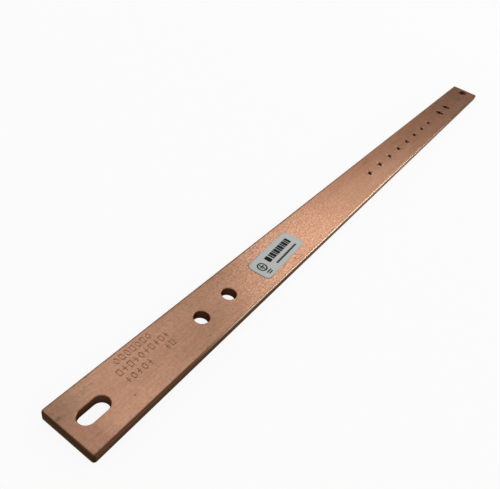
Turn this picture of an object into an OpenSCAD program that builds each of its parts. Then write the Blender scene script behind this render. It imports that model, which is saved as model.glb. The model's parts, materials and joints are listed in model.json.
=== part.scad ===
// Rack grounding busbar: a flat copper bar with a slot at each end for the
// rack rails, two pairs of lug holes, a row of tapped holes and a small label.
// Lies on its back. The origin is at the bottom centre: X runs along the bar,
// Y across it and Z up through its thickness.

/* [Bar] */
// Length, the panel width of a 19-inch rack
bar_length = 482.6; // [440:0.1:620]
// Width of the flat bar stock
bar_width = 24; // [20:0.5:40]
// Thickness of the bar stock, 3/16 inch
bar_thickness = 4.76; // [3:0.01:10]
// Radius that rounds the four corners in plan
corner_radius = 1.2; // [1.2:0.1:5]
// Radius that eases every outer edge
edge_radius = 0.9; // [0.3:0.1:1.1]

/* [Rack slots] */
// Slot length from end to end
slot_length = 12; // [9:0.5:20]
// Slot width, clear of a rack screw
slot_width = 6.5; // [5:0.1:9]
// Distance from each end of the bar to its slot's centre
slot_inset = 10.6; // [9:0.1:20]

/* [Lug holes] */
// Diameter of the lug holes
lug_hole_diameter = 6.7; // [5:0.1:9]
// Distance from the left end to the first lug hole
left_pair_inset = 64.5; // [40:0.1:70]
// Spacing of the left pair
left_pair_spacing = 18.2; // [14:0.1:22]
// Distance from the right end to the last lug hole
right_pair_inset = 69.6; // [40:0.1:74]
// Spacing of the right pair
right_pair_spacing = 20.3; // [14:0.1:24]

/* [Tapped holes] */
// Number of tapped holes in the row
tapped_hole_count = 8; // [2:1:8]
// Diameter of the tapping drill
tapped_hole_diameter = 2.9; // [2:0.1:4]
// Diameter of the shallow countersink that starts the thread
countersink_diameter = 5.6; // [4.4:0.1:7]
// Angle of the countersinking cutter, in degrees
countersink_angle = 120; // [90:5:130]
// Distance from the left end to the first tapped hole
tapped_row_inset = 235.2; // [180:0.1:240]
// Spacing of the tapped holes
tapped_hole_spacing = 17.75; // [10:0.05:18]

/* [Label] */
// Length of the label
label_length = 36; // [20:0.5:44]
// Width of the label
label_width = 12; // [6:0.5:14]
// Thickness of the printed foil
label_thickness = 0.15; // [0.1:0.05:0.3]
// Radius of the label's corners
label_corner_radius = 2.6; // [1:0.1:2.8]
// Distance from the left end to the label's centre
label_inset = 120.2; // [112:0.1:140]
// Distance from the bar's centre line to the label's centre
label_offset = -0.8; // [-2:0.1:2]
// Angle by which the label was put on askew, in degrees
label_angle = 3; // [0:0.5:4]

/* [Hidden] */
$fn = 64;
copper = [0.72, 0.45, 0.34];
foil = [0.73, 0.75, 0.74];

// Width of the chamfer that deburrs the slots and lug holes
deburr = 0.25;
// How far a cutter runs past the faces that it opens into
overrun = 1;

left_end = -bar_length / 2;
right_end = bar_length / 2;
slot_centres = [left_end + slot_inset, right_end - slot_inset];
lug_hole_centres = [
    left_end + left_pair_inset,
    left_end + left_pair_inset + left_pair_spacing,
    right_end - right_pair_inset - right_pair_spacing,
    right_end - right_pair_inset
];
tapped_hole_centres = [
    for (i = [0 : tapped_hole_count - 1])
        left_end + tapped_row_inset + i * tapped_hole_spacing
];
countersink_width = (countersink_diameter - tapped_hole_diameter) / 2;
countersink_depth = countersink_width / tan(countersink_angle / 2);

// Places its child at both ends of a span, mirrored
module at_both(span, axis) {
    translate(axis * span / 2) children();
    mirror(axis) translate(axis * span / 2) children();
}

// A rectangle with round corners, centred
module rounded_rectangle(length, width, radius) {
    square([length - 2 * radius, width], center = true);
    square([length, width - 2 * radius], center = true);
    for (x = [-1, 1], y = [-1, 1])
        translate([x * (length / 2 - radius), y * (width / 2 - radius)])
            circle(radius);
}

// Half of the bar's section, from the middle out to an eased edge that lies
// reach away, with x outwards and y up through the thickness
module eased_half(reach) {
    flat = reach - edge_radius;
    upright = bar_thickness - 2 * edge_radius;
    square([flat, bar_thickness]);
    translate([0, edge_radius]) square([reach, upright]);
    translate([flat, edge_radius]) circle(edge_radius);
    translate([flat, edge_radius + upright]) circle(edge_radius);
}

// One corner of the bar: a quarter of a puck with an eased rim
module corner() {
    rotate_extrude(angle = 90) eased_half(corner_radius);
}

// The bar before it is cut, built round its four corners
module blank() {
    long_run = bar_length - 2 * corner_radius;
    short_run = bar_width - 2 * corner_radius;
    at_both(short_run, [0, 1, 0])
        at_both(long_run, [1, 0, 0])
            corner();
    rotate([90, 0, 90])
        linear_extrude(long_run, center = true) {
            eased_half(bar_width / 2);
            mirror([1, 0]) eased_half(bar_width / 2);
        }
    rotate([90, 0, 0])
        linear_extrude(short_run, center = true) {
            eased_half(bar_length / 2);
            mirror([1, 0]) eased_half(bar_length / 2);
        }
}

// Half the outline of a cutter of radius r that goes through the bar, with a
// chamfer of this width and depth at both faces
module cutter_half(r, width, depth) {
    lip = r + width * (1 + overrun / depth);
    polygon([
        [0, -overrun],
        [lip, -overrun],
        [r, depth],
        [r, bar_thickness - depth],
        [lip, bar_thickness + overrun],
        [0, bar_thickness + overrun]
    ]);
}

// A round hole through the bar, chamfered at both faces
module hole(diameter, width, depth) {
    rotate_extrude() cutter_half(diameter / 2, width, depth);
}

// A slot along the bar, chamfered at both faces
module slot() {
    r = slot_width / 2;
    straight = slot_length - slot_width;
    at_both(straight, [1, 0, 0]) hole(slot_width, deburr, deburr);
    rotate([90, 0, 90])
        linear_extrude(straight, center = true) {
            cutter_half(r, deburr, deburr);
            mirror([1, 0]) cutter_half(r, deburr, deburr);
        }
}

module busbar() {
    color(copper)
        difference() {
            blank();
            for (x = slot_centres)
                translate([x, 0, 0]) slot();
            for (x = lug_hole_centres)
                translate([x, 0, 0]) hole(lug_hole_diameter, deburr, deburr);
            for (x = tapped_hole_centres)
                translate([x, 0, 0])
                    hole(tapped_hole_diameter, countersink_width, countersink_depth);
        }
}

// A strip of foil with round corners, stuck on the top face
module label() {
    color(foil)
        translate([left_end + label_inset, label_offset, bar_thickness])
            rotate([0, 0, label_angle])
                linear_extrude(label_thickness)
                    rounded_rectangle(label_length, label_width, label_corner_radius);
}

busbar();
label();
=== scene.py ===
"""Finishes the rack grounding busbar: drawn copper with stamped marks, tapped threads and a printed
film label, on a pale studio floor."""

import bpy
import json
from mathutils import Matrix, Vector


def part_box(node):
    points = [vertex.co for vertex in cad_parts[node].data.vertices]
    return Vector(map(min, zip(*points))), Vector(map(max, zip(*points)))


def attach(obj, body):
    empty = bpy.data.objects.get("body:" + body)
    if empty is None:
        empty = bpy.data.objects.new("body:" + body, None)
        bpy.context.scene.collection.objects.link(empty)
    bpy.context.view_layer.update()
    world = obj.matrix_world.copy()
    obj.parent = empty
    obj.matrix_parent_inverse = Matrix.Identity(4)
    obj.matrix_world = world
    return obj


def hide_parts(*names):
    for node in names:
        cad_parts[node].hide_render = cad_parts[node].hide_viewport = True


bl_info = {
    "name": "Rack Grounding Busbar",
    "version": (1, 0, 0),
    "blender": (4, 5, 0),
    "location": "View3D > Sidebar > Busbar",
    "description": "Finishes a copper rack grounding busbar and sets up its studio",
    "category": "Object",
}

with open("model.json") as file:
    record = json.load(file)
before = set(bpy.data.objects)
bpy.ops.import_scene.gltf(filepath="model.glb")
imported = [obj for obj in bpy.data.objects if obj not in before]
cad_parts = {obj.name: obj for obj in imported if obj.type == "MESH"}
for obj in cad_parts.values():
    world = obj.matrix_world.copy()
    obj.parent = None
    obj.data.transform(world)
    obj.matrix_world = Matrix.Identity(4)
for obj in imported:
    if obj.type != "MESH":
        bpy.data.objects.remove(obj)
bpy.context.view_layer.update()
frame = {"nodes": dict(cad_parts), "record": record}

import json
import math

import bpy
from bpy.props import FloatProperty, FloatVectorProperty, PointerProperty
from mathutils import Vector

MM = 0.001
BAR_LOW, BAR_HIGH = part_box("busbar")
LABEL_LOW, LABEL_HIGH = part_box("label")
LABEL_MIDDLE = (LABEL_LOW + LABEL_HIGH) / 2
MOUNTS = {mount["name"]: mount for mount in frame["record"]["mounts"]}


def near_end(distance):
    """The X at a distance in millimetres from the bar's near end."""
    return BAR_LOW.x + distance * MM


def far_end(distance):
    """The X at a distance in millimetres from the bar's far end."""
    return BAR_HIGH.x - distance * MM


# The tapped holes' bore and countersinks, and the stretch of X that holds their row.
TAPPED_RADIUS = MOUNTS["tapped_pair_1"]["dims"]["hole_r_mm"] * MM
COUNTERSINK_RADIUS = 2.8 * MM
COUNTERSINK_DEPTH = 0.78 * MM
TAPPED_ROW = (-12 * MM, 123 * MM)
# The strip at each end that counts as sawn, and how far the openings reach to either side.
SAWN_STRIP = 1.5 * MM
OPENINGS_REACH = 9 * MM
# Half the label's length and width without its corner radius, which is 2.6 mm.
LABEL_CORE = (15.4 * MM, 3.4 * MM, 10 * MM)

# Stamped rows: row pitches off the middle, pitches from the start, share of the depth, and the marks.
STAMP_ROWS = (
    (2, 1.0, 0.8, ("ring", "square", "ring", "square", "ring", "square", "ring")),
    (1, 0.0, 1.0, ("square", "cross", "square", "cross", "ring", "cross", "square", "cross", "square", "cross")),
    (0, 0.0, 1.0, ("cross", "ring", "cross", "ring", "cross")),
    (0, 7.6, 1.0, ("cross", "square")),
)

# The print, in millimetres from the label's middle. The ring has x, y, radius and stroke, and plain
# marks have x, y, width and height.
EARTH_RING = (-13.1, 0.65, 2.6, 0.7)
EARTH_SIGN = (
    (-13.1, 1.6, 0.65, 1.3), (-13.1, 0.85, 2.9, 0.6),
    (-13.1, 0.05, 1.9, 0.55), (-13.1, -0.75, 0.9, 0.55),
)
RULES = ((-12.9, -3.0, 3.6, 0.6), (-12.9, -4.1, 2.9, 0.6))
DASH_COUNT, DASH_PITCH = 14, 1.38
FIRST_DASH = (-4.95, -3.1, 1.2, 1.1)
BARS_START, BARS_MIDDLE, BARS_HEIGHT = -7.6, 1.3, 3.7
INK_SPREAD = 0.2
# Upright bars: width and the gap after it.
PRINT_BARS = (
    (2.6, 0.9), (0.9, 0.5), (1.7, 0.55), (0.7, 0.5), (1.8, 0.6), (1.1, 0.45),
    (1.7, 0.6), (0.8, 0.5), (1.9, 0.55), (0.7, 0.5), (1.5, 0.0),
)

# Stains and specks, and one broad spot of painted shade: millimetres from the near end and off the middle, length,
# width, strength and softness.
STAINS = (
    (22.8, -5.8, 0.35, 0.35, 0.6, 0.4),
    (1.9, 5.5, 1.0, 0.7, 0.4, 0.6),
    (3.0, 8.5, 5.0, 4.0, 0.12, 0.9),
    (14.0, 8.7, 0.3, 0.25, 0.5, 0.5),
    (17.0, 11.0, 0.35, 0.25, 0.6, 0.5),
    (124.5, -8.5, 0.7, 0.5, 0.5, 0.7),
    (126.0, -9.4, 3.0, 0.9, 0.18, 0.9),
    (311.0, -10.5, 2.4, 0.9, 0.3, 0.8),
    (244.0, 8.0, 2.8, 0.6, 0.25, 0.9),
    (293.0, 6.5, 2.4, 0.6, 0.2, 0.9),
    (448.6, -2.0, 3.2, 1.6, 0.35, 0.9),
    (33.0, -1.0, 9.0, 2.5, 0.1, 0.9),
    # A broad soft spot of painted shade over the dip in the light near the stamped end.
    (58.0, -7.0, 22.0, 7.0, 0.2, 0.95),
)

# Lesser tones of the copper, most of them painted light and shade, and tints of its reflection at a glancing angle.
# A lit tone painted on one side of each small countersink.
PAINTED_LIT_CHAMFER = (0.61, 0.345, 0.235, 1)
# Painted shade down in each tapped hole.
HOLE_SHADE = (0.02, 0.009, 0.006, 1)
# Painted shade low on the walls, near the floor.
LOW_WALL_SHADE = (0.01, 0.006, 0.004, 1)
# Painted shade on the walls of the near slot.
SLOT_WALL = (0.1, 0.056, 0.038, 1)
# Painted shade, and painted glints across it, on the walls of the far bores.
FAR_BORE_SHADE = (0.035, 0.009, 0.004, 1)
FAR_BORE_GLINT = (0.26, 0.09, 0.045, 1)
# Painted light deep in the tapped bores, where light from the floor below reaches them.
LIT_BORE = (1.0, 0.75, 0.62, 1)
# Painted shade on the threads inside the holes.
THREAD_SHADE = (0.015, 0.006, 0.004, 1)
SAWN_TINT = (0.53, 0.46, 0.42, 1)
BORE_TINT = (0.42, 0.28, 0.2, 1)
THREAD_TINT = (0.12, 0.07, 0.05, 1)

# Camera: its place in millimetres, its turn in degrees and its shift as a share of the width.
CAMERA_PLACE = (-290.58, -69.11, 155.94)
CAMERA_TURN = (50.319, -13.14, -57.423)
CAMERA_SHIFT = (-0.0607, 0.0006)
BAR_MIDDLE = Vector((0, 0, 0))
# Lamps: name, the point each faces, elevation and azimuth in degrees, distance and size in metres,
# and the setting that holds its power.
LAMPS = (
    ("key softbox", LABEL_MIDDLE, 40, 14.3, 1.2, (0.35, 0.35), "key"),
    ("far softbox", LABEL_MIDDLE, 29, -4, 1.3, (0.35, 0.3), "far"),
    ("near softbox", Vector((near_end(20), 0, 0)), 60, 38, 1.2, (0.4, 0.4), "near"),
    ("strip light", Vector((-40 * MM, 0, 0)), 7, -37.8, 1.4, (0.7, 0.16), "strip"),
    ("side softbox", LABEL_MIDDLE, 34, -26, 1.3, (0.7, 0.45), "side"),
    ("low card", Vector((56 * MM, 0, 0)), 6, 28, 1.5, (0.9, 0.3), "card"),
    ("right wall", BAR_MIDDLE, 35, -80, 1.6, (2.0, 1.4), "fill"),
    ("left wall", BAR_MIDDLE, 35, 110, 1.6, (2.0, 1.4), "fill"),
    ("back wall", BAR_MIDDLE, 45, 190, 1.6, (2.0, 1.4), "fill"),
)


# Properties


def tone(name, description, rgb):
    """A colour that can be changed."""
    return FloatVectorProperty(
        name=name, description=description, subtype="COLOR", size=4, min=0, max=1, default=(*rgb, 1))


def span(name, description, millimetres, least=0.0):
    """A length that can be changed, given in millimetres."""
    return FloatProperty(
        name=name, description=description, min=least * MM, default=millimetres * MM, unit="LENGTH")


def power(name, description, watts):
    """A lamp's power that can be changed."""
    return FloatProperty(name=name, description=description, min=0, default=watts, unit="POWER")


class BusbarCopperSettings(bpy.types.PropertyGroup):
    """Colours and surface of the drawn copper."""

    copper: tone("Copper", "Clean copper of the flat faces", (0.56, 0.306, 0.196))
    # Browner copper toward the far end: partly tarnish, partly painted shade.
    tarnished: tone("Tarnished copper", "Browner copper of handled areas", (0.46, 0.238, 0.153))
    # Greyer brown of the far end: partly oxide, partly painted shade.
    oxidised: tone("Oxidised copper", "Greyer brown of the far end", (0.44, 0.259, 0.197))
    smudge: tone("Smudge", "Olive grey of the smudge at the near corner", (0.37, 0.245, 0.16))
    # A painted sheen beside the tapped holes and beside the label.
    painted_sheen: tone("Wiped copper", "Brighter copper in the band beside the tapped holes", (0.68, 0.39, 0.27))
    # The sides and ends are dark partly from their dull finish and partly from painted shade.
    wall: tone("Side walls", "Dull copper of the sides and ends", (0.05, 0.03, 0.021))
    # A painted sheen on the long sides in the middle of the bar.
    wall_sheen: tone(
        "Cleaner side walls", "Copper of the long sides where they were handled least", (0.26, 0.16, 0.115))
    # The bores: redder copper, darkened with painted shade.
    bore: tone("Bores", "Redder copper of the slot and hole walls", (0.08, 0.033, 0.02))
    # Tone of the rounding's wear, lighter where a highlight is painted along one edge.
    worn_and_highlit: tone("Worn rounding", "Rubbed copper of the rounded edges", (0.5, 0.36, 0.26))
    # Real stains and specks; also painted shade on the edges, in the grooves and against the label, and the darker
    # rims.
    stain_and_shade: tone("Stain", "Dark oxide in stains and specks", (0.1, 0.045, 0.025))
    grazing: tone("Grazing tint", "Reflection at a glancing angle, held down by the oxide", (0.5, 0.385, 0.32))
    wall_grazing: tone("Wall grazing tint", "Reflection of the upright walls at a glancing angle", (0.7, 0.54, 0.46))
    # The sawn ends are dark partly from the cut and partly from painted shade.
    end: tone("Sawn ends", "Dark copper of the two sawn ends", (0.04, 0.022, 0.013))
    # A glint painted on one side of each small countersink.
    painted_glint: tone(
        "Burnished chamfer", "Side of each small countersink that the tap rubbed bright", (1.0, 0.7, 0.56))
    roughness: FloatProperty(
        name="Roughness", description="Roughness of the flat faces",
        min=0, max=1, default=0.31, subtype="FACTOR")
    grain_length: span("Grain length", "Length of a drawing streak", 14, 1)
    grain_width: span("Grain width", "Width of a drawing streak", 0.55, 0.05)
    pebble_size: span("Pebble size", "Size of the fine mottle in the face", 1.1, 0.1)


class BusbarStampSettings(bpy.types.PropertyGroup):
    """Sizes of the stamped marks."""

    start: span("Start", "First mark of the longest row, from the near end", 25.5)
    pitch: span("Pitch", "Spacing of the marks along a row", 2.55, 1)
    row_pitch: span("Row pitch", "Spacing of the rows", 4.25, 1)
    height: span("Mark height", "Height of a mark across the bar", 3.0, 0.5)
    width: span("Mark width", "Width of a mark along the bar", 1.9, 0.3)
    stroke: span("Stroke", "Radius of the tool that makes the strokes", 0.45, 0.05)
    depth: span("Depth", "Depth of the strokes", 0.12, 0.02)


class BusbarThreadSettings(bpy.types.PropertyGroup):
    """Sizes of the threads in the tapped holes."""

    pitch: span("Pitch", "Thread pitch", 0.6, 0.2)
    height: span("Height", "How far the thread stands off the hole's wall", 0.2, 0.05)


class BusbarLabelSettings(bpy.types.PropertyGroup):
    """Colours and sizes of the film label."""

    film: tone("Film", "Silver-grey polyester film", (0.545, 0.567, 0.543))
    film_edge: tone("Film edge", "Cooler tone toward the film's cut edge", (0.485, 0.55, 0.57))
    ink: tone("Ink", "Black print", (0.004, 0.004, 0.005))
    turn: FloatProperty(
        name="Turn", description="How far the label was stuck on askew",
        default=math.radians(3), unit="ROTATION")
    print_thickness: span("Print thickness", "Thickness of the printed ink", 0.02, 0.005)


class BusbarStageSettings(bpy.types.PropertyGroup):
    """Floor, lamps and camera."""

    floor: tone("Floor", "Pale studio floor", (0.9, 0.9, 0.9))
    glow: FloatProperty(
        name="Floor whiteness", description="How far the floor shows plain white; the rest keeps the shadow",
        min=0, max=1, default=0.9, subtype="FACTOR")
    room: FloatProperty(
        name="Room light", description="Level of the even light from the room", min=0, default=0.31)
    key: power("Key light", "Softbox beyond the bar, seen in the copper past the label", 0.84)
    far: power("Far light", "Lower softbox that carries the key light's glow toward the far end", 0.56)
    near: power("Near light", "Softbox over the near end", 0.6)
    strip: power("Strip light", "Low strip that draws a line along the rounded edge", 4.4)
    side: power("Side light", "Dim softbox that keeps the start of the rounding as bright as the face", 1.0)
    card: power("Low card", "Low card whose glint shows in the small countersinks", 1.7)
    fill: power("Fill light", "Each of three wide soft walls of light", 5.0)
    lens: FloatProperty(
        name="Lens", description="Focal length on a 36 mm sensor", min=10, default=35.475)


# Modelling helpers


def deselect():
    """Leaves object mode with nothing selected."""
    if bpy.context.object and bpy.context.object.mode != "OBJECT":
        bpy.ops.object.mode_set(mode="OBJECT")
    bpy.ops.object.select_all(action="DESELECT")


def select(*pieces):
    """Selects only these objects, the last one active."""
    deselect()
    for piece in pieces:
        piece.select_set(True)
    bpy.context.view_layer.objects.active = pieces[-1]


def apply_place(piece):
    """Puts the object's place, turn and scale into its mesh."""
    select(piece)
    bpy.ops.object.transform_apply(location=True, rotation=True, scale=True)


def join(pieces, name):
    """Joins objects into one named piece with its origin at the frame's."""
    for piece in pieces:
        apply_place(piece)
    select(*pieces)
    bpy.ops.object.join()
    piece = bpy.context.object
    piece.name = piece.data.name = name
    return piece


def finish_modifier(piece, kind, **values):
    """Adds a modifier with these values and applies it."""
    select(piece)
    bpy.ops.object.modifier_add(type=kind)
    modifier = piece.modifiers[-1]
    for key, value in values.items():
        setattr(modifier, key, value)
    bpy.ops.object.modifier_apply(modifier=modifier.name)


def smooth(piece, angle=math.radians(30)):
    """Smooth shading over the curves, with the level faces kept dead flat."""
    select(piece)
    bpy.ops.object.shade_smooth_by_angle(angle=angle)
    bpy.ops.object.mode_set(mode="EDIT")
    bpy.ops.mesh.select_mode(type="FACE")
    bpy.ops.mesh.select_all(action="DESELECT")
    bpy.ops.object.mode_set(mode="OBJECT")
    for face in piece.data.polygons:
        face.select = abs(face.normal.z) > 0.9999
    bpy.ops.object.mode_set(mode="EDIT")
    bpy.ops.mesh.faces_shade_flat()
    bpy.ops.mesh.select_mode(type="VERT")
    bpy.ops.object.mode_set(mode="OBJECT")


def mend_normals(piece, merge=0.001 * MM):
    """Merges doubles and turns every face outward."""
    select(piece)
    bpy.ops.object.mode_set(mode="EDIT")
    bpy.ops.mesh.select_all(action="SELECT")
    bpy.ops.mesh.remove_doubles(threshold=merge)
    bpy.ops.mesh.normals_make_consistent(inside=False)
    bpy.ops.object.mode_set(mode="OBJECT")


def place(piece, body):
    """Lets a piece ride on its body."""
    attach(piece, body)


# Node helpers


def node(tree, kind, **values):
    """Adds a node and sets its values: attributes by name, sockets through a dict called sockets."""
    made = tree.nodes.new(kind)
    sockets = values.pop("sockets", {})
    for key, value in values.items():
        setattr(made, key, value)
    for key, value in sockets.items():
        feed(tree, made.inputs[key], value)
    return made


def feed(tree, socket, value):
    """Links a socket to an output, or sets it to a plain value."""
    if isinstance(value, bpy.types.NodeSocket):
        tree.links.new(value, socket)
    else:
        socket.default_value = value


def maths(tree, operation, *values, clamp=False):
    """A Math node's result."""
    made = node(tree, "ShaderNodeMath", operation=operation, use_clamp=clamp)
    for socket, value in zip(made.inputs, values):
        feed(tree, socket, value)
    return made.outputs[0]


def times(tree, first, *others):
    """The product of two or more values."""
    for value in others:
        first = maths(tree, "MULTIPLY", first, value)
    return first


def add_share(tree, first, value, share):
    """A value with a share of another added."""
    return maths(tree, "ADD", first, times(tree, value, share))


def rest_of(tree, mask):
    """What a mask leaves over."""
    return maths(tree, "SUBTRACT", 1.0, mask)


def swing(tree, value, spread):
    """How far a noise value lies from its middle, times spread."""
    return times(tree, maths(tree, "SUBTRACT", value, 0.5), spread)


def vector_maths(tree, operation, *values):
    """A Vector Math node's vector result."""
    made = node(tree, "ShaderNodeVectorMath", operation=operation)
    for socket, value in zip(made.inputs, values):
        feed(tree, socket, value)
    return made.outputs[0]


def length(tree, vector):
    """A vector's length."""
    return node(tree, "ShaderNodeVectorMath", operation="LENGTH", sockets={0: vector}).outputs["Value"]


def split(tree, vector):
    """A vector's three values."""
    return tuple(node(tree, "ShaderNodeSeparateXYZ", sockets={"Vector": vector}).outputs)


def object_point(tree):
    """The point on the piece, in the frame's metres."""
    return node(tree, "ShaderNodeTexCoord").outputs["Object"]


def on_label(tree, position):
    """Coordinates that start at the label's middle and turn with it."""
    return node(tree, "ShaderNodeMapping", vector_type="TEXTURE", sockets={
        "Vector": position, "Location": tuple(LABEL_MIDDLE),
        "Rotation": (0, 0, bpy.context.scene.busbar_label.turn)}).outputs[0]


def noise(tree, vector, size, detail, roughness=0.5):
    """Noise whose largest features are about this size."""
    return node(tree, "ShaderNodeTexNoise", sockets={
        "Vector": vector, "Scale": 1 / size, "Detail": detail, "Roughness": roughness}).outputs["Fac"]


def ramp(tree, value, low, high, start=0.0, end=1.0):
    """A smooth step from start to end as value goes from low to high."""
    return node(tree, "ShaderNodeMapRange", interpolation_type="SMOOTHSTEP", sockets={
        "Value": value, "From Min": low, "From Max": high, "To Min": start, "To Max": end}).outputs["Result"]


def band(tree, value, rise, fall):
    """A mask that steps up over one stretch and down over another."""
    return times(tree, ramp(tree, value, *rise), ramp(tree, value, *fall))


def blend(tree, factor, first, second, mode="MIX"):
    """A colour mix of two colours by a factor."""
    made = node(tree, "ShaderNodeMix", data_type="RGBA", blend_type=mode)
    feed(tree, made.inputs[0], factor)
    colours = [socket for socket in made.inputs if socket.type == "RGBA"]
    feed(tree, colours[0], first)
    feed(tree, colours[1], second)
    return [socket for socket in made.outputs if socket.type == "RGBA"][0]


def shade(tree, colour, level):
    """A colour made lighter or darker by a level about one."""
    grey = node(tree, "ShaderNodeCombineColor", sockets={"Red": level, "Green": level, "Blue": level}).outputs[0]
    return blend(tree, 1.0, colour, grey, "MULTIPLY")


def bump(tree, height, strength, distance):
    """The normal of a bumpy surface."""
    return node(tree, "ShaderNodeBump", sockets={
        "Height": height, "Strength": strength, "Distance": distance}).outputs["Normal"]


def new_group(name, inputs, outputs):
    """An empty shader node group with its sockets, and its input and output nodes."""
    group = bpy.data.node_groups.new(name, "ShaderNodeTree")
    for label, kind, default in inputs:
        socket = group.interface.new_socket(name=label, in_out="INPUT", socket_type=kind)
        if default is not None:
            socket.default_value = default
    for label, kind in outputs:
        group.interface.new_socket(name=label, in_out="OUTPUT", socket_type=kind)
    return group, group.nodes.new("NodeGroupInput"), group.nodes.new("NodeGroupOutput")


def use_group(tree, name, **values):
    """Places a node group in a tree with its own values."""
    made = node(tree, "ShaderNodeGroup", node_tree=bpy.data.node_groups[name])
    for key, value in values.items():
        feed(tree, made.inputs[key.capitalize()], value)
    return made


def new_material(name):
    """A material with only a Principled shader and its output."""
    material = bpy.data.materials.new(name)
    material.use_nodes = True
    return material, material.node_tree, material.node_tree.nodes["Principled BSDF"]


# Shared effects


def make_grain_group():
    """Long fine streaks left by drawing, with a finer set between them."""
    tree, given, result = new_group(
        "Drawn grain",
        [("Position", "NodeSocketVector", None), ("Length", "NodeSocketFloat", 10 * MM),
         ("Width", "NodeSocketFloat", 0.5 * MM)],
        [("Streaks", "NodeSocketFloat"), ("Fine streaks", "NodeSocketFloat")])
    width = given.outputs["Width"]
    size = node(tree, "ShaderNodeCombineXYZ", sockets={
        "X": given.outputs["Length"], "Y": width, "Z": width}).outputs[0]
    along = vector_maths(tree, "DIVIDE", given.outputs["Position"], size)
    finer = vector_maths(tree, "MULTIPLY", along, (0.7, 3.1, 3.1))
    feed(tree, result.inputs["Streaks"], noise(tree, along, 1.0, 3.0, 0.55))
    feed(tree, result.inputs["Fine streaks"], noise(tree, finer, 1.0, 2.0))


def make_facing_group():
    """Masks from the way a surface looks: rounded edges, upright walls, dead level faces, and the turn to a side."""
    outputs = ("Rounded", "Wall", "Level", "Side")
    tree, _, result = new_group("Facing", [], [(output, "NodeSocketFloat") for output in outputs])
    _, sideways, upward = split(tree, node(tree, "ShaderNodeTexCoord").outputs["Normal"])
    upward = maths(tree, "ABSOLUTE", upward)
    flat = ramp(tree, upward, 0.85, 0.995)
    wall = ramp(tree, upward, 0.5, 0.05)
    feed(tree, result.inputs["Rounded"], maths(tree, "SUBTRACT", rest_of(tree, flat), wall, clamp=True))
    feed(tree, result.inputs["Wall"], wall)
    feed(tree, result.inputs["Level"], ramp(tree, upward, 0.985, 0.998))
    feed(tree, result.inputs["Side"], sideways)


def make_spot_group():
    """One ragged spot on the upper face, such as a stain, a speck or a smudge."""
    tree, given, result = new_group(
        "Spot",
        [("Position", "NodeSocketVector", None), ("Centre", "NodeSocketVector", None),
         ("Size", "NodeSocketVector", (MM, MM, 1)), ("Softness", "NodeSocketFloat", 0.4),
         ("Raggedness", "NodeSocketFloat", 0.5)],
        [("Mask", "NodeSocketFloat")])
    away = vector_maths(tree, "SUBTRACT", given.outputs["Position"], given.outputs["Centre"])
    shape = vector_maths(tree, "DIVIDE", away, given.outputs["Size"])
    wander = swing(tree, noise(tree, shape, 1 / 1.7, 3.0, 0.6), given.outputs["Raggedness"])
    edge = maths(tree, "ADD", length(tree, shape), wander)
    inner = rest_of(tree, given.outputs["Softness"])
    outer = maths(tree, "ADD", 1.0, given.outputs["Softness"])
    feed(tree, result.inputs["Mask"], ramp(tree, edge, inner, outer, 1.0, 0.0))


def make_specks_group():
    """Scattered fine dust specks, in about half of the cells they could lie in."""
    tree, given, result = new_group(
        "Specks",
        [("Position", "NodeSocketVector", None), ("Spacing", "NodeSocketFloat", 5 * MM),
         ("Size", "NodeSocketFloat", 0.1)],
        [("Mask", "NodeSocketFloat")])
    scaled = node(tree, "ShaderNodeVectorMath", operation="SCALE", sockets={
        0: given.outputs["Position"], "Scale": maths(tree, "DIVIDE", 1.0, given.outputs["Spacing"])}).outputs[0]
    cells = node(tree, "ShaderNodeTexVoronoi", sockets={"Vector": scaled, "Scale": 1.0, "Randomness": 1.0})
    draw = node(tree, "ShaderNodeSeparateColor", sockets={"Color": cells.outputs["Color"]}).outputs[0]
    size = given.outputs["Size"]
    spot = ramp(tree, cells.outputs["Distance"], times(tree, size, 0.5), size, 1.0, 0.0)
    feed(tree, result.inputs["Mask"], times(tree, spot, maths(tree, "GREATER_THAN", draw, 0.55)))


GROUPS = {
    "Drawn grain": make_grain_group,
    "Facing": make_facing_group,
    "Spot": make_spot_group,
    "Specks": make_specks_group,
}


def make_groups():
    """Builds every shared effect once."""
    for name, make in GROUPS.items():
        if name not in bpy.data.node_groups:
            make()


# Materials


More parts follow.
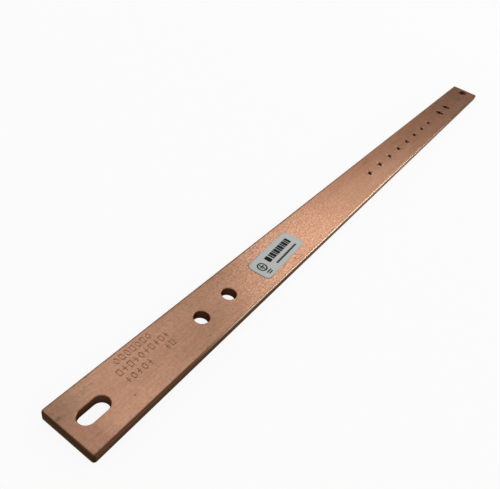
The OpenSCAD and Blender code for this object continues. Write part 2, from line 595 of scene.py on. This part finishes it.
class CopperTree:
    """The node tree of one copper finish, put together from shared masks and colours."""

    def __init__(self, name):
        look = self.look = bpy.context.scene.busbar_copper
        self.material, self.tree, self.shader = new_material(name)
        tree = self.tree
        self.position = object_point(tree)
        self.x, self.y, self.z = split(tree, self.position)
        self.off_end = maths(tree, "ABSOLUTE", self.x)
        self.off_middle = maths(tree, "ABSOLUTE", self.y)
        self.stretched = vector_maths(tree, "MULTIPLY", self.position, (0.45, 1.0, 1.0))
        self.cloud = noise(tree, self.stretched, 11 * MM, 4.0, 0.6)
        self.pebble = noise(tree, self.position, look.pebble_size, 3.0, 0.65)
        grain = use_group(
            tree, "Drawn grain", position=self.position, length=look.grain_length, width=look.grain_width)
        self.streaks, self.fine = grain.outputs["Streaks"], grain.outputs["Fine streaks"]
        facing = use_group(tree, "Facing").outputs
        self.rounded, self.wall, self.level, self.side = (
            facing[mask] for mask in ("Rounded", "Wall", "Level", "Side"))
        self.rim = times(
            tree, ramp(tree, self.off_middle, 10.3 * MM, 9.7 * MM),
            ramp(tree, self.off_end, far_end(1.2), far_end(1.8)))
        self.tapped_masks()

    def tapped_masks(self):
        """The tapped row, and where its countersinks and bores carry painted light and shade: a glint on one side of
        each countersink, a lit tone on the other side, shade down in each hole, and light deep in the bores.
        """
        tree, side = self.tree, self.side
        start, end = TAPPED_ROW
        self.row = times(
            tree, ramp(tree, self.off_middle, COUNTERSINK_RADIUS + 0.15 * MM, COUNTERSINK_RADIUS + 0.05 * MM),
            band(tree, self.x, (start, start + MM), (end, end - MM)))
        sloped = times(tree, self.row, rest_of(tree, self.level))
        # One side of each countersink: rougher, and painted in a lit tone.
        self.dull = times(tree, sloped, ramp(tree, side, 0.15, -0.2))
        # The other side: a painted glint that fades along the row, and smoother.
        self.bright = times(
            tree, sloped, ramp(tree, side, 0.2, 0.45), ramp(tree, self.x, 8 * MM, 75 * MM, 1.0, 0.1))
        half = BAR_HIGH.z / 2
        off_half = maths(tree, "ABSOLUTE", maths(tree, "SUBTRACT", self.z, half))
        # Painted shade down in each hole, past the countersink.
        self.hole_shade_mask = times(
            tree, self.row, ramp(tree, off_half, half - 0.3 * MM, half - 0.44 * MM),
            ramp(tree, side, -0.5, -0.22), ramp(tree, side, 0.1, 0.3, 1.0, 0.4))
        # Painted light in the bores: deep down, and on one side.
        deep = ramp(tree, self.z, BAR_HIGH.z - 1.6 * MM, BAR_HIGH.z - 1.8 * MM)
        self.lit = maths(tree, "MAXIMUM", deep, ramp(tree, side, -0.5, -0.8))

    def spot(self, x, y, long, wide, softness):
        """The mask of a spot with its place and size in millimetres."""
        return use_group(
            self.tree, "Spot", position=self.position, centre=(near_end(x), y * MM, BAR_HIGH.z),
            size=(long * MM, wide * MM, 2 * MM), softness=softness).outputs["Mask"]

    def face(self):
        """Clean copper, browner toward the far end, partly from tarnish and partly from painted shade, darker at the
        near end and in soft clouds, with painted shade on the +Y half past the label, a smudge, and bands of painted
        sheen.
        """
        tree, look, x = self.tree, self.look, self.x
        left = ramp(tree, self.y, 1 * MM, 8 * MM)
        # Browner toward the far end, partly tarnish and partly painted shade, and darker at the near end and in
        # clouds.
        darkened = maths(
            tree, "ADD", ramp(tree, x, near_end(180), far_end(0), 0.0, 0.85),
            ramp(tree, x, near_end(14), near_end(2), 0.0, 1.3))
        # Painted shade on the +Y half past the label.
        painted_left_shade = band(tree, x, (near_end(150), near_end(172)), (near_end(300), near_end(220)))
        darkened = add_share(tree, darkened, times(tree, left, painted_left_shade), 0.5)
        darkened = maths(tree, "ADD", darkened, swing(tree, self.cloud, 1.3), clamp=True)
        tarnished = blend(tree, ramp(tree, x, near_end(180), far_end(60)), look.tarnished, look.oxidised)
        colour = blend(tree, darkened, look.copper, tarnished)
        colour = blend(tree, times(tree, self.spot(4.5, 7.5, 9, 6, 0.9), 0.38), colour, look.smudge)
        # Painted sheen on the -Y side beside the tapped holes and on the +Y side beside the label.
        painted_sheen = band(tree, x, (near_end(195), near_end(245)), (near_end(270), near_end(330), 0.7, 0.24))
        painted_sheen = times(tree, painted_sheen, ramp(tree, self.y, 3 * MM, -7 * MM))
        beside = band(tree, x, (near_end(98), near_end(108)), (near_end(140), near_end(124), 0.0, 0.45))
        return blend(tree, maths(tree, "ADD", painted_sheen, times(tree, left, beside)), colour, look.painted_sheen)

    def mottled(self, colour):
        """Light and dark of the drawn grain and the fine mottle, with a coarse mottle strongest in the highlight past
        the stamped end, where it stands for painted glints.
        """
        tree = self.tree
        # The highlight band, where the coarse mottle paints glints.
        middle = band(tree, self.x, (near_end(45), near_end(120)), (near_end(225), near_end(148), 0.22, 1.0))
        coarse = noise(tree, self.stretched, self.look.pebble_size / 1.6, 2.0, 0.8)
        for value, spread in (
            (self.streaks, 0.36), (self.fine, 0.34), (self.pebble, 0.6), (coarse, times(tree, middle, 2.4)),
        ):
            colour = shade(tree, colour, maths(tree, "ADD", 1.0, swing(tree, value, spread)))
        return colour

    def stained(self, colour):
        """Stains and specks, and one spot of painted shade."""
        for *spot, strength, softness in STAINS:
            mask = times(self.tree, self.spot(*spot, softness), strength)
            colour = blend(self.tree, mask, colour, self.look.stain_and_shade)
        return colour

    def edged(self, colour):
        """Rounded edges: wear and a painted highlight along the middle of one long edge, painted shade along the
        rest, plain round the openings.
        """
        tree, look = self.tree, self.look
        # Wear and a painted highlight along the middle of the -Y edge; painted shade on the rest of the rounding.
        wear_and_highlight = band(tree, self.x, (near_end(40), near_end(82)), (far_end(60), far_end(140), 0.2, 1.0))
        wear_and_highlight = times(
            tree, wear_and_highlight, ramp(tree, self.side, 0.1, -0.1), ramp(tree, self.off_middle, 9 * MM, 10 * MM))
        edge = blend(tree, wear_and_highlight, look.stain_and_shade, look.worn_and_highlit)
        return blend(tree, self.rounded, colour, blend(tree, self.rim, edge, look.tarnished))

    def shaded_and_darkened(self, colour):
        """Painted shadow against the label, mostly at its near end, painted shade in the stamped grooves, and darker
        along two rims.
        """
        tree, stain_and_shade, top = self.tree, self.look.stain_and_shade, BAR_HIGH.z
        placed = on_label(tree, self.position)
        past = vector_maths(tree, "SUBTRACT", vector_maths(tree, "ABSOLUTE", placed), LABEL_CORE)
        reach = length(tree, vector_maths(tree, "MAXIMUM", past, (0, 0, 0)))
        # Painted shadow along the label's edge.
        label_shadow = ramp(tree, reach, 3.2 * MM, 2.7 * MM)
        strength = ramp(tree, split(tree, placed)[0], -16 * MM, -11 * MM, 0.65, 0.12)
        colour = blend(tree, times(tree, label_shadow, strength), colour, stain_and_shade)
        # Painted shade in the stamped grooves.
        groove = band(tree, self.z, (top - 0.01 * MM, top - 0.06 * MM), (top - 0.3 * MM, top - 0.2 * MM))
        groove = times(tree, groove, ramp(tree, self.off_middle, 11.2 * MM, 11 * MM), 0.3)
        colour = blend(tree, groove, colour, stain_and_shade)
        # Darker along the +Y rim of the face and along the far end's rim.
        side_rim = times(
            tree, ramp(tree, self.y, 10.8 * MM, 11.5 * MM), ramp(tree, self.x, near_end(20), near_end(160)),
            ramp(tree, self.x, near_end(160), near_end(400), 0.6, 0.9))
        end_rim = ramp(tree, self.x, far_end(1.8), far_end(0.8), 0.0, 0.85)
        return blend(tree, maths(tree, "MAXIMUM", side_rim, end_rim), colour, stain_and_shade)

    def countersunk(self, colour):
        """Painted light on the countersinks: a glint on one side, a lit tone on the other side, and painted shade
        down in each hole.
        """
        tree = self.tree
        # The painted lit tone fades along the row as the light on the face falls off.
        dull = times(tree, self.dull, ramp(tree, self.x, 15 * MM, 80 * MM, 1.0, 0.15))
        colour = blend(tree, dull, colour, PAINTED_LIT_CHAMFER)
        colour = blend(tree, self.bright, colour, self.look.painted_glint)
        return blend(tree, times(tree, self.hole_shade_mask, rest_of(tree, times(tree, self.bright, 0.4))), colour, HOLE_SHADE)

    def clouded(self, colour):
        """Soft light and dark clouds of the walls."""
        return shade(self.tree, colour, add_share(self.tree, 0.8, self.cloud, 0.4))

    def shaded_low(self, colour):
        """A wall's colour, darkened with painted shade toward the back face, which lies on the floor."""
        return blend(self.tree, ramp(self.tree, self.z, 3.4 * MM, 1.2 * MM, 0.0, 0.45), colour, LOW_WALL_SHADE)

    def walls(self):
        """Upright walls: dark sides with a painted sheen in the middle of the bar, and redder bores, all partly
        painted shade, with painted glints in the far bores.
        """
        tree, look, x = self.tree, self.look, self.x
        # A painted sheen along the middle of the long sides.
        sheen_band = band(tree, x, (near_end(85), near_end(230)), (far_end(60), far_end(160)))
        outside = blend(tree, sheen_band, look.wall, look.wall_sheen)
        # Glints painted in streaks across painted shade in the far bores.
        across = node(tree, "ShaderNodeCombineXYZ", sockets={"Y": self.y}).outputs[0]
        streak = ramp(tree, noise(tree, across, 2.2 * MM, 1.0), 0.42, 0.56)
        far_bore_glints = blend(tree, streak, FAR_BORE_SHADE, FAR_BORE_GLINT)
        bore = blend(tree, ramp(tree, x, far_end(130), far_end(90)), look.bore, far_bore_glints)
        bore = blend(tree, ramp(tree, x, near_end(20), near_end(18)), bore, SLOT_WALL)
        inside = times(
            tree, ramp(tree, self.off_middle, 10 * MM, 9 * MM), ramp(tree, self.off_end, far_end(2), far_end(3)))
        wall = blend(tree, inside, outside, bore)
        wall = blend(tree, times(tree, self.bright, 0.1), wall, look.painted_glint)
        wall = blend(tree, times(tree, self.row, self.lit), wall, LIT_BORE)
        return self.shaded_low(self.clouded(wall))

    def whole(self):
        """The bar's colour on its faces, edges and walls."""
        colour = self.stained(self.mottled(self.face()))
        colour = self.countersunk(self.shaded_and_darkened(self.edged(colour)))
        return blend(self.tree, self.wall, colour, self.walls())

    def sawn(self):
        """The colour of the two sawn ends, dark partly from the cut and partly from painted shade."""
        return self.clouded(self.shaded_low(self.look.end))

    def thread(self):
        """The colour of the threads: painted shade, with the painted light of the bores and a trace of the painted
        glint.
        """
        thread = blend(self.tree, times(self.tree, self.bright, 0.1), THREAD_SHADE, self.look.painted_glint)
        return self.clouded(blend(self.tree, self.lit, thread, LIT_BORE))

    def finish(self, colour, tint, extra_roughness=0.0):
        """Feeds the shader: metal with this colour and grazing tint, rough in its grain, and bumpy where level."""
        tree, shader = self.tree, self.shader
        feed(tree, shader.inputs["Base Color"], colour)
        shader.inputs["Metallic"].default_value = 1.0
        shader.inputs["Specular Tint"].default_value = tint
        matt = maths(tree, "MAXIMUM", self.dull, times(tree, self.rim, self.rounded))
        rough = self.look.roughness - 0.06 + extra_roughness
        for mask, share in (
            (self.streaks, 0.12), (self.wall, 0.08), (self.rounded, -0.05), (self.bright, -0.08), (matt, 0.2),
        ):
            rough = add_share(tree, rough, mask, share)
        feed(tree, shader.inputs["Roughness"], rough)
        height = times(tree, add_share(tree, self.pebble, self.fine, 0.4), self.level)
        feed(tree, shader.inputs["Normal"], bump(tree, height, 1.0, 0.06 * MM))
        return self.material


def copper_material(name):
    """Drawn copper, or the finish of the dull sides, sawn ends, bores or threads."""
    if name not in bpy.data.materials:
        make_groups()
        copper = CopperTree(name)
        look = copper.look
        make_colour, tint, extra_roughness = {
            "drawn copper": (copper.whole, look.grazing, 0.0),
            "dull copper": (copper.whole, look.wall_grazing, 0.0),
            "sawn copper": (copper.sawn, SAWN_TINT, 0.0),
            "bore copper": (copper.whole, BORE_TINT, 0.2),
            "thread copper": (copper.thread, THREAD_TINT, 0.2),
        }[name]
        copper.finish(make_colour(), tint, extra_roughness)
    return bpy.data.materials[name]


def film_material():
    """Silver-grey polyester film, a little cooler toward its cut edge."""
    make_groups()
    look = bpy.context.scene.busbar_label
    material, tree, shader = new_material("silver-grey film")
    position = object_point(tree)
    grain = noise(tree, position, 1.2 * MM, 3.0)
    x, y, _ = split(tree, on_label(tree, position))
    ends = ramp(tree, maths(tree, "ABSOLUTE", x), 15.5 * MM, 17.9 * MM)
    sides = ramp(tree, maths(tree, "ABSOLUTE", y), 4.6 * MM, 5.9 * MM)
    colour = blend(tree, maths(tree, "MAXIMUM", ends, sides), look.film, look.film_edge)
    colour = shade(tree, colour, add_share(tree, 0.95, grain, 0.1))
    dust = use_group(tree, "Specks", position=position, spacing=3 * MM, size=0.06)
    colour = blend(tree, times(tree, dust.outputs["Mask"], 0.35), colour, (0.2, 0.19, 0.17, 1))
    feed(tree, shader.inputs["Base Color"], colour)
    shader.inputs["Metallic"].default_value = 0.25
    feed(tree, shader.inputs["Roughness"], add_share(tree, 0.38, grain, 0.12))
    feed(tree, shader.inputs["Normal"], bump(tree, grain, 0.5, 0.02 * MM))
    return material


def ink_material():
    """Black print, slightly broken where the ink is thin."""
    look = bpy.context.scene.busbar_label
    material, tree, shader = new_material("black ink")
    thin = noise(tree, object_point(tree), 0.4 * MM, 3.0)
    colour = blend(tree, ramp(tree, thin, 0.5, 0.8, 0.0, 0.5), look.ink, (0.025, 0.026, 0.028, 1))
    feed(tree, shader.inputs["Base Color"], colour)
    feed(tree, shader.inputs["Roughness"], ramp(tree, thin, 0.3, 0.7, 0.5, 0.65))
    shader.inputs["Specular IOR Level"].default_value = 0.12
    return material


def floor_material():
    """Matt pale floor that the eye and the metal see as nearly plain white, and that keeps part of each shadow."""
    look = bpy.context.scene.busbar_stage
    material, tree, shader = new_material("pale floor")
    cloud = noise(tree, object_point(tree), 1 / 3, 2.0)
    colour = blend(tree, times(tree, cloud, 0.03), look.floor, (0.8, 0.8, 0.8, 1))
    feed(tree, shader.inputs["Base Color"], colour)
    shader.inputs["Roughness"].default_value = 0.9
    shader.inputs["Specular IOR Level"].default_value = 0.1
    path = node(tree, "ShaderNodeLightPath").outputs
    seen = maths(tree, "MAXIMUM", path["Is Camera Ray"], path["Is Glossy Ray"])
    seen = maths(tree, "MAXIMUM", seen, path["Is Transmission Ray"])
    white = node(tree, "ShaderNodeEmission", sockets={"Color": (1, 1, 1, 1), "Strength": 1.0})
    mix = node(tree, "ShaderNodeMixShader", sockets={
        0: times(tree, seen, look.glow), 1: shader.outputs[0], 2: white.outputs[0]})
    feed(tree, tree.nodes["Material Output"].inputs["Surface"], mix.outputs[0])
    return material


# Operators


class BUSBAR_OT_bar(bpy.types.Operator):
    """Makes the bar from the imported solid, cuts its stamped marks and gives it drawn copper"""

    bl_idname = "busbar.bar"
    bl_label = "Copper bar"
    finishes = ("drawn copper", "dull copper", "sawn copper", "bore copper")
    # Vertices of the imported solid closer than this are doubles.
    merge = 0.0005 * MM

    def execute(self, context):
        bar = bpy.data.objects.new("bar", frame["nodes"]["busbar"].data.copy())
        context.scene.collection.objects.link(bar)
        select(bar)
        bpy.ops.object.mode_set(mode="EDIT")
        bpy.ops.mesh.select_all(action="SELECT")
        bpy.ops.mesh.customdata_custom_splitnormals_clear()
        bpy.ops.mesh.remove_doubles(threshold=self.merge)
        bpy.ops.object.mode_set(mode="OBJECT")
        cutter = self.marks(context.scene.busbar_stamp)
        finish_modifier(bar, "BOOLEAN", object=cutter, operation="DIFFERENCE", solver="EXACT", use_self=True)
        bpy.data.objects.remove(cutter)
        smooth(bar)
        bar.data.materials.clear()
        for finish in self.finishes:
            bar.data.materials.append(copper_material(finish))
        for face in bar.data.polygons:
            face.material_index = self.finishes.index(self.finish_of(face))
        place(bar, "root")
        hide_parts("busbar")
        return {"FINISHED"}

    def finish_of(self, face):
        """The finish of one of the bar's faces: its walls are dull, sawn or bored."""
        if abs(face.normal.z) >= 0.5:
            return "drawn copper"
        at_end = abs(face.center.x) > BAR_HIGH.x - SAWN_STRIP
        if at_end and abs(face.normal.x) > 0.3:
            return "sawn copper"
        if not at_end and abs(face.center.y) < OPENINGS_REACH:
            return "bore copper"
        return "dull copper"

    def marks(self, size):
        """One cutter for all stamped strokes."""
        strokes = []
        for rows_off, indent, share, kinds in STAMP_ROWS:
            for column, kind in enumerate(kinds):
                middle = Vector((
                    BAR_LOW.x + size.start + (indent + column) * size.pitch,
                    size.row_pitch * rows_off,
                    BAR_HIGH.z + size.stroke - size.depth * share))
                strokes += self.mark(kind, middle, size)
        return join(strokes, "stamp tool")

    def mark(self, kind, middle, size):
        """The strokes of one mark."""
        if kind in ("ring", "square"):
            sides, turn = {"ring": (20, 0), "square": (4, math.pi / 4)}[kind]
            reach = (size.height / 2 - size.stroke * 0.7) * (math.sqrt(2) if kind == "square" else 1)
            deselect()
            bpy.ops.mesh.primitive_torus_add(
                major_segments=sides, minor_segments=12, major_radius=reach, minor_radius=size.stroke)
            outline = bpy.context.object
            outline.rotation_euler.z = turn
            apply_place(outline)
            outline.scale.x = size.width / size.height
            outline.location = middle
            return [outline]
        return [self.stroke(middle, turn, size) for turn in (math.pi / 2, 0.0)]

    def stroke(self, middle, turn, size):
        """A straight stroke with rounded ends, lying along the bar and then turned."""
        deselect()
        long = size.height if turn else size.width * 0.9
        bpy.ops.mesh.primitive_cylinder_add(
            vertices=12, radius=size.stroke, depth=long, location=middle, rotation=(0, math.pi / 2, turn))
        piece = bpy.context.object
        bpy.ops.object.mode_set(mode="EDIT")
        bpy.ops.mesh.select_all(action="SELECT")
        bpy.ops.mesh.bevel(offset=size.stroke * 0.5, segments=2, affect="EDGES")
        bpy.ops.object.mode_set(mode="OBJECT")
        return piece


class BUSBAR_OT_threads(bpy.types.Operator):
    """Winds a thread into each of the tapped holes"""

    bl_idname = "busbar.threads"
    bl_label = "Tapped threads"

    def execute(self, context):
        size = context.scene.busbar_thread
        holes = []
        for name in sorted(MOUNTS):
            if name.startswith("tapped_pair"):
                mount = MOUNTS[name]
                half = mount["dims"]["spacing_x_mm"] * MM / 2
                holes += [mount["pos_m"][0] - half, mount["pos_m"][0] + half]
        first = self.thread(min(holes), size)
        for number, x in enumerate(sorted(holes), 1):
            piece = first
            if number > 1:
                piece = first.copy()
                piece.data = first.data.copy()
                context.scene.collection.objects.link(piece)
                piece.location.x = x - min(holes)
                apply_place(piece)
            piece.name = piece.data.name = f"tapped_thread_{number}"
            place(piece, "root")
        return {"FINISHED"}

    def thread(self, x, size):
        """One helical ridge from below the upper countersink to above the lower one."""
        turns = int((BAR_HIGH.z - 2 * COUNTERSINK_DEPTH) / size.pitch) - 1
        start = (x + TAPPED_RADIUS - size.height * 0.2, 0, BAR_HIGH.z / 2 - turns * size.pitch / 2)
        deselect()
        bpy.ops.mesh.primitive_circle_add(
            vertices=3, radius=size.height * 1.2, fill_type="NOTHING", location=start, rotation=(math.pi / 2, 0, 0))
        ridge = bpy.context.object
        apply_place(ridge)
        bpy.context.scene.cursor.location = (x, 0, 0)
        bpy.ops.object.origin_set(type="ORIGIN_CURSOR")
        finish_modifier(
            ridge, "SCREW", axis="Z", angle=math.tau, iterations=turns, steps=28, render_steps=28,
            screw_offset=size.pitch, use_merge_vertices=False, use_normal_calculate=True)
        bpy.context.scene.cursor.location = (0, 0, 0)
        apply_place(ridge)
        bpy.ops.object.mode_set(mode="EDIT")
        bpy.ops.mesh.select_all(action="SELECT")
        bpy.ops.mesh.fill_holes(sides=0)
        bpy.ops.object.mode_set(mode="OBJECT")
        mend_normals(ridge)
        smooth(ridge, math.radians(40))
        ridge.data.materials.append(copper_material("thread copper"))
        return ridge


class BUSBAR_OT_label(bpy.types.Operator):
    """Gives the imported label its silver-grey film"""

    bl_idname = "busbar.label"
    bl_label = "Film label"

    def execute(self, context):
        label = frame["nodes"]["label"]
        label.material_slots[0].material = film_material()
        return {"FINISHED"}


class BUSBAR_OT_print(bpy.types.Operator):
    """Lays the print on the label: an earth sign in a ring, a row of bars and thin rules"""

    bl_idname = "busbar.print"
    bl_label = "Label print"
    # How deep the print sits in the film.
    sunk = 0.004 * MM

    def execute(self, context):
        look = context.scene.busbar_label
        self.depth = look.print_thickness
        shapes = [self.ring(*EARTH_RING)]
        shapes += [self.block(*mark) for mark in EARTH_SIGN]
        start = BARS_START
        for width, gap in PRINT_BARS:
            shapes.append(self.block(start + width / 2, BARS_MIDDLE, width + INK_SPREAD, BARS_HEIGHT))
            start += width + gap
        x, y, width, height = FIRST_DASH
        shapes += [self.block(x + number * DASH_PITCH, y, width, height) for number in range(DASH_COUNT)]
        shapes += [self.block(*mark) for mark in RULES]
        ink = join(shapes, "label_print")
        ink.rotation_euler.z = look.turn
        ink.location = (LABEL_MIDDLE.x, LABEL_MIDDLE.y, LABEL_HIGH.z + self.depth / 2 - self.sunk)
        apply_place(ink)
        smooth(ink)
        ink.data.materials.append(ink_material())
        place(ink, "root")
        return {"FINISHED"}

    def block(self, x, y, wide, high):
        """A printed bar with slightly rounded corners."""
        deselect()
        bpy.ops.mesh.primitive_plane_add(size=1, location=(x * MM, y * MM, -self.depth / 2))
        piece = bpy.context.object
        piece.scale = (wide * MM, high * MM, 1)
        apply_place(piece)
        bpy.ops.object.mode_set(mode="EDIT")
        bpy.ops.mesh.select_all(action="SELECT")
        bpy.ops.mesh.bevel(offset=min(wide, high) * 0.18 * MM, segments=3, affect="VERTICES")
        bpy.ops.mesh.select_all(action="SELECT")
        bpy.ops.mesh.extrude_region_move(TRANSFORM_OT_translate={"value": (0, 0, self.depth)})
        bpy.ops.object.mode_set(mode="OBJECT")
        mend_normals(piece)
        return piece

    def ring(self, x, y, radius, stroke):
        """A printed ring: a disc's face inset, its middle removed and the rest given thickness."""
        deselect()
        bpy.ops.mesh.primitive_circle_add(
            vertices=48, radius=radius * MM, fill_type="NGON", location=(x * MM, y * MM, -self.depth / 2))
        piece = bpy.context.object
        bpy.ops.object.mode_set(mode="EDIT")
        bpy.ops.mesh.select_all(action="SELECT")
        bpy.ops.mesh.select_mode(type="FACE")
        bpy.ops.mesh.inset(thickness=stroke * MM)
        bpy.ops.mesh.delete(type="FACE")
        bpy.ops.mesh.select_all(action="SELECT")
        bpy.ops.mesh.extrude_region_move(TRANSFORM_OT_translate={"value": (0, 0, self.depth)})
        bpy.ops.mesh.select_mode(type="VERT")
        bpy.ops.object.mode_set(mode="OBJECT")
        mend_normals(piece)
        return piece


class BUSBAR_OT_stage(bpy.types.Operator):
    """Sets out the pale floor, the soft lights and the camera"""

    bl_idname = "busbar.stage"
    bl_label = "Stage"

    def execute(self, context):
        look = context.scene.busbar_stage
        self.camera(context, look)
        self.floor()
        self.lights(context, look)
        context.scene.view_settings.view_transform = "Standard"
        return {"FINISHED"}

    def camera(self, context, look):
        """The camera stands over the near end and looks along the bar."""
        deselect()
        bpy.ops.object.camera_add(
            location=[value * MM for value in CAMERA_PLACE],
            rotation=[math.radians(angle) for angle in CAMERA_TURN])
        camera = context.object
        camera.name = "camera"
        camera.data.sensor_width = 36
        camera.data.lens = look.lens
        camera.data.shift_x, camera.data.shift_y = CAMERA_SHIFT
        camera.data.clip_start = 0.01
        context.scene.camera = camera

    def floor(self):
        """A wide plane under the bar."""
        deselect()
        bpy.ops.mesh.primitive_plane_add(size=8)
        floor = bpy.context.object
        floor.name = "floor"
        bpy.ops.object.mode_set(mode="EDIT")
        bpy.ops.mesh.subdivide(number_cuts=3)
        bpy.ops.object.mode_set(mode="OBJECT")
        floor.data.materials.append(floor_material())

    def lights(self, context, look):
        """An even room, softboxes beyond and over the bar, low ones for its edge and countersinks, and wide walls."""
        world = bpy.data.worlds.new("even room")
        world.use_nodes = True
        room = world.node_tree.nodes["Background"]
        room.inputs["Color"].default_value = (1, 1, 1, 1)
        room.inputs["Strength"].default_value = look.room
        context.scene.world = world
        for *lamp, setting in LAMPS:
            self.lamp(*lamp, getattr(look, setting))

    def lamp(self, name, target, elevation, azimuth, distance, size, watts):
        """A softbox that faces a target from an elevation and an azimuth in degrees."""
        deselect()
        up, round_about = math.radians(elevation), math.radians(azimuth)
        toward = Vector((math.cos(up) * math.cos(round_about), math.cos(up) * math.sin(round_about), math.sin(up)))
        bpy.ops.object.light_add(type="AREA", location=target + toward * distance)
        lamp = bpy.context.object
        lamp.name = name
        lamp.rotation_euler = toward.to_track_quat("Z", "Y").to_euler()
        lamp.data.shape = "RECTANGLE"
        lamp.data.size, lamp.data.size_y = size
        lamp.data.energy = watts


class BUSBAR_PT_panel(bpy.types.Panel):
    """Buttons for every piece and the stage, with their values"""

    bl_idname = "BUSBAR_PT_panel"
    bl_label = "Rack grounding busbar"
    bl_space_type = "VIEW_3D"
    bl_region_type = "UI"
    bl_category = "Busbar"

    def draw(self, context):
        for operators, groups in STEPS:
            box = self.layout.box()
            for operator in operators:
                box.operator(operator)
            for group in groups:
                values = getattr(context.scene, group)
                for key in values.bl_rna.properties.keys():
                    if key not in ("rna_type", "name"):
                        box.prop(values, key)


# The operators in the order they run in, each with the settings it uses.
STEPS = (
    (("busbar.stage",), ("busbar_stage",)),
    (("busbar.bar",), ("busbar_copper", "busbar_stamp")),
    (("busbar.threads",), ("busbar_thread",)),
    (("busbar.label", "busbar.print"), ("busbar_label",)),
)
SETTINGS = (
    ("busbar_copper", BusbarCopperSettings),
    ("busbar_stamp", BusbarStampSettings),
    ("busbar_thread", BusbarThreadSettings),
    ("busbar_label", BusbarLabelSettings),
    ("busbar_stage", BusbarStageSettings),
)
CLASSES = tuple(kind for _, kind in SETTINGS) + (
    BUSBAR_OT_bar, BUSBAR_OT_threads, BUSBAR_OT_label, BUSBAR_OT_print, BUSBAR_OT_stage, BUSBAR_PT_panel)


def register():
    for kind in CLASSES:
        bpy.utils.register_class(kind)
    for name, kind in SETTINGS:
        setattr(bpy.types.Scene, name, PointerProperty(type=kind))


def unregister():
    for name, _ in reversed(SETTINGS):
        delattr(bpy.types.Scene, name)
    for kind in reversed(CLASSES):
        bpy.utils.unregister_class(kind)


def main():
    register()
    for operators, _ in STEPS:
        for operator in operators:
            group, name = operator.split(".")
            getattr(getattr(bpy.ops, group), name)()


if __name__ == "__main__":
    main()
